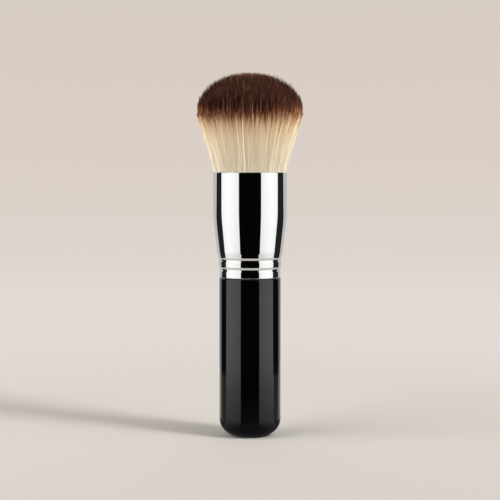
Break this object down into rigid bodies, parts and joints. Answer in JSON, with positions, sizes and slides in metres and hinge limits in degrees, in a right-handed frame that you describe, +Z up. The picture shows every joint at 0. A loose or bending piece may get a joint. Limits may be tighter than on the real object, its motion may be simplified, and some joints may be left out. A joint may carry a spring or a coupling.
{
  "type": "kabuki makeup brush",
  "caption": "Dome-topped powder brush: a dense two-tone tuft in a polished tapered ferrule on a round black handle that stands on its base.",
  "frame": {"origin": "centre of the handle's flat base, on the surface that the brush stands on", "axes": "+Z up along the brush's axis, from the base to the tuft; the brush is round, so +X and +Y are free, with -Y towards the viewer of the picture"},
  "size_m": [0.0373, 0.0373, 0.1276],
  "materials": {
    "black_lacquer": "black gloss lacquer over turned wood",
    "chrome_plate": "bright mirror plating on drawn brass sheet",
    "core_hair": "soft synthetic hair, dark brown at the tips",
    "middle_hair": "soft synthetic hair, dark brown at the tips",
    "outer_hair": "soft synthetic hair, cream with brown tips",
    "band_rubber": "matte elastic",
    "resin": "cured clear amber epoxy",
    "glue": "cured epoxy glue line"
  },
  "bodies": {
    "root": {"handle": "black_lacquer", "ferrule": "chrome_plate", "tuft_core": "core_hair", "tuft_middle": "middle_hair", "tuft_outer": "outer_hair", "tuft_band": "band_rubber", "root_resin": "resin", "tenon_glue": "glue"}
  },
  "joints": []
}
